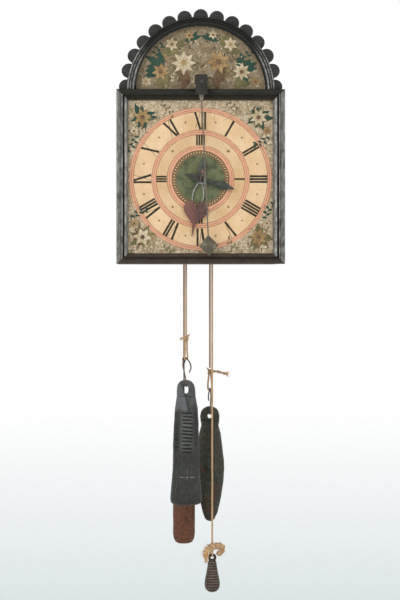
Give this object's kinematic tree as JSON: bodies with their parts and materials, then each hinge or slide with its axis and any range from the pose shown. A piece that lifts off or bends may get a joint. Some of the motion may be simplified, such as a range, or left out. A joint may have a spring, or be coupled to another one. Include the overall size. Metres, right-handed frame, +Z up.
{
  "type": "wall clock",
  "caption": "Wall clock in an open wooden case with a painted round dial, arched top, front pendulum, wooden wheels, hour strike on a bell, and iron weights on ropes.",
  "frame": {"origin": "axis of the hole the clock hangs by, in the plane of the wall", "axes": "+Z up, +X to the viewer's right, +Y into the wall"},
  "size_m": [0.27, 0.21, 0.9361],
  "materials": {
    "frame_wood": "weathered dark stain",
    "dial_face": "painted and aged",
    "cock_wood": "dull and worn",
    "case_wood": "planed, unfinished",
    "wheel_wood": "smooth, oiled",
    "arbor_wood": "turned, oiled",
    "crown_metal": "dull",
    "steel_work": "forged, dull",
    "quarter_iron": "dark, dull",
    "hour_metal": "dark, dull",
    "pendulum_iron": "dark wire",
    "bob_metal": "dull grey",
    "bell_metal": "dull",
    "rope": "twisted hemp",
    "hook_wire": "dark wire",
    "going_iron": "dull grey, pitted",
    "strike_iron": "dark with rust",
    "counter_iron": "red-brown rust",
    "pear_metal": "dark brown, turned"
  },
  "bodies": {
    "case": {"dial_board": "dial_face", "frame_side_rails": "frame_wood", "frame_top_rail": "frame_wood", "frame_bottom_rail": "frame_wood", "arch_board": "frame_wood", "arch_moulding": "frame_wood", "verge_cock": "cock_wood", "verge_rear_cock": "case_wood", "back_board": "case_wood", "base_board": "case_wood", "top_board": "case_wood", "corner_posts": "case_wood", "front_bar": "case_wood", "middle_bar": "case_wood", "rear_bar": "case_wood", "step_block": "case_wood", "bell_stand": "steel_work", "bell": "bell_metal", "rope_wraps": "rope", "going_rope": "rope", "strike_rope": "rope", "counter_rope": "rope", "pear_rope": "rope"},
    "hand": {"hand_arbor": "arbor_wood", "quarter_hand": "quarter_iron", "hand_pin": "quarter_iron"},
    "great": {"great_arbor": "arbor_wood", "great_wheel": "wheel_wood"},
    "second": {"second_arbor": "arbor_wood", "contrate_wheel": "wheel_wood"},
    "crown": {"crown_arbor": "steel_work", "crown_wheel": "crown_metal"},
    "motion": {"motion_wheel": "wheel_wood"},
    "hour": {"hour_wheel": "wheel_wood", "hour_hand": "hour_metal"},
    "going_pulley": {"going_pulley": "wheel_wood"},
    "going_click": {"going_click": "steel_work"},
    "pendulum": {"verge": "steel_work", "pendulum_rod": "pendulum_iron", "pendulum_bob": "bob_metal"},
    "strike_great": {"strike_arbor": "arbor_wood", "strike_wheel": "wheel_wood"},
    "strike_pulley": {"strike_pulley": "wheel_wood"},
    "strike_click": {"strike_click": "steel_work"},
    "locking": {"locking_wheel": "wheel_wood"},
    "warning": {"warning_wheel": "wheel_wood"},
    "fly": {"fly": "wheel_wood"},
    "count": {"count_wheel": "wheel_wood"},
    "detent": {"detent_lever": "steel_work"},
    "lifting": {"lifting_lever": "steel_work"},
    "hammer": {"hammer": "steel_work"},
    "going_weight": {"going_weight": "going_iron", "going_hook": "hook_wire", "going_knot": "rope"},
    "pear": {"pear_weight": "pear_metal", "pear_knot": "rope"},
    "strike_weight": {"strike_weight": "strike_iron", "strike_hook": "hook_wire", "strike_knot": "rope"},
    "counterweight": {"counterweight": "counter_iron"}
  },
  "joints": [
    {"name": "going_train", "type": "hinge", "parent": "case", "child": "hand", "pos_m": [0, -0.165, -0.19], "axis": [0, 1, 0], "continuous": true},
    {"name": "great_spin", "type": "hinge", "parent": "case", "child": "great", "pos_m": [0, -0.115, -0.23], "axis": [0, 1, 0], "continuous": true},
    {"name": "second_spin", "type": "hinge", "parent": "case", "child": "second", "pos_m": [0, -0.11, -0.16825], "axis": [0, 1, 0], "continuous": true},
    {"name": "crown_spin", "type": "hinge", "parent": "case", "child": "crown", "pos_m": [0, -0.099, -0.09], "axis": [0, 0, 1], "continuous": true},
    {"name": "motion_spin", "type": "hinge", "parent": "case", "child": "motion", "pos_m": [-0.026, -0.16, -0.19], "axis": [0, 1, 0], "continuous": true},
    {"name": "hour_spin", "type": "hinge", "parent": "case", "child": "hour", "pos_m": [0, -0.168, -0.19], "axis": [0, 1, 0], "continuous": true},
    {"name": "going_slide", "type": "slide", "parent": "case", "child": "going_weight", "axis": [0, 0, 1], "range_m": [-0.42883, 0.09896], "deforming": ["going_rope"]},
    {"name": "going_pulley_spin", "type": "hinge", "parent": "case", "child": "going_pulley", "pos_m": [0, -0.13, -0.23], "axis": [0, 1, 0], "range_deg": [-1171, 271]},
    {"name": "pear_slide", "type": "slide", "parent": "case", "child": "pear", "axis": [0, 0, 1], "range_m": [-0.09906, 0.42893], "deforming": ["pear_rope"]},
    {"name": "going_click_pivot", "type": "hinge", "parent": "great", "child": "going_click", "pos_m": [0, -0.122, -0.196], "axis": [0, -1, 0], "range_deg": [-7.4, 20]},
    {"name": "pendulum_swing", "type": "hinge", "parent": "case", "child": "pendulum", "pos_m": [0, -0.196, -0.0475], "axis": [0, -1, 0], "range_deg": [-14.8, 9.2]},
    {"name": "strike_train", "type": "hinge", "parent": "case", "child": "strike_great", "pos_m": [0, -0.06, -0.204], "axis": [0, 1, 0], "continuous": true},
    {"name": "locking_spin", "type": "hinge", "parent": "case", "child": "locking", "pos_m": [0.016, -0.057, -0.15243], "axis": [0, 1, 0], "continuous": true},
    {"name": "warning_spin", "type": "hinge", "parent": "case", "child": "warning", "pos_m": [-0.004, -0.057, -0.11721], "axis": [0, 1, 0], "continuous": true},
    {"name": "fly_spin", "type": "hinge", "parent": "case", "child": "fly", "pos_m": [0.01, -0.057, -0.09204], "axis": [0, 1, 0], "continuous": true},
    {"name": "count_spin", "type": "hinge", "parent": "case", "child": "count", "pos_m": [0, -0.014, -0.25775], "axis": [0, 1, 0], "continuous": true},
    {"name": "strike_slide", "type": "slide", "parent": "case", "child": "strike_weight", "axis": [0, 0, 1], "range_m": [-0.2419, 0.14294], "deforming": ["strike_rope"]},
    {"name": "strike_pulley_spin", "type": "hinge", "parent": "case", "child": "strike_pulley", "pos_m": [0, -0.06, -0.204], "axis": [0, 1, 0], "range_deg": [-391, 661]},
    {"name": "counter_slide", "type": "slide", "parent": "case", "child": "counterweight", "axis": [0, 0, 1], "range_m": [-0.14304, 0.242], "deforming": ["counter_rope"]},
    {"name": "strike_click_pivot", "type": "hinge", "parent": "strike_great", "child": "strike_click", "pos_m": [0, -0.066, -0.17], "axis": [0, 1, 0], "range_deg": [-7.4, 20]},
    {"name": "detent_pivot", "type": "hinge", "parent": "case", "child": "detent", "pos_m": [0.058, -0.05, -0.17], "axis": [0, -1, 0], "range_deg": [-4, 8]},
    {"name": "lifting_pivot", "type": "hinge", "parent": "case", "child": "lifting", "pos_m": [0.08, -0.12, -0.184], "axis": [0, 1, 0], "range_deg": [0, 12]},
    {"name": "hammer_pivot", "type": "hinge", "parent": "case", "child": "hammer", "pos_m": [-0.072, -0.057, -0.18], "axis": [0, -1, 0], "range_deg": [-0.8, 10]}
  ],
  "couplings": [
    {"joint": "great_spin", "follows": "going_train", "ratio": -1},
    {"joint": "second_spin", "follows": "going_train", "ratio": 12},
    {"joint": "crown_spin", "follows": "going_train", "ratio": 144},
    {"joint": "motion_spin", "follows": "going_train", "ratio": -0.33333},
    {"joint": "hour_spin", "follows": "going_train", "ratio": 0.083333},
    {"joint": "going_pulley_spin", "follows": "going_slide", "rad_per_m": 47.619},
    {"joint": "pear_slide", "follows": "going_slide", "ratio": -1},
    {"joint": "locking_spin", "follows": "strike_train", "ratio": -8},
    {"joint": "warning_spin", "follows": "strike_train", "ratio": 64},
    {"joint": "fly_spin", "follows": "strike_train", "ratio": -448},
    {"joint": "count_spin", "follows": "strike_train", "ratio": -0.10256},
    {"joint": "strike_pulley_spin", "follows": "strike_slide", "rad_per_m": -47.619},
    {"joint": "counter_slide", "follows": "strike_slide", "ratio": -1}
  ]
}
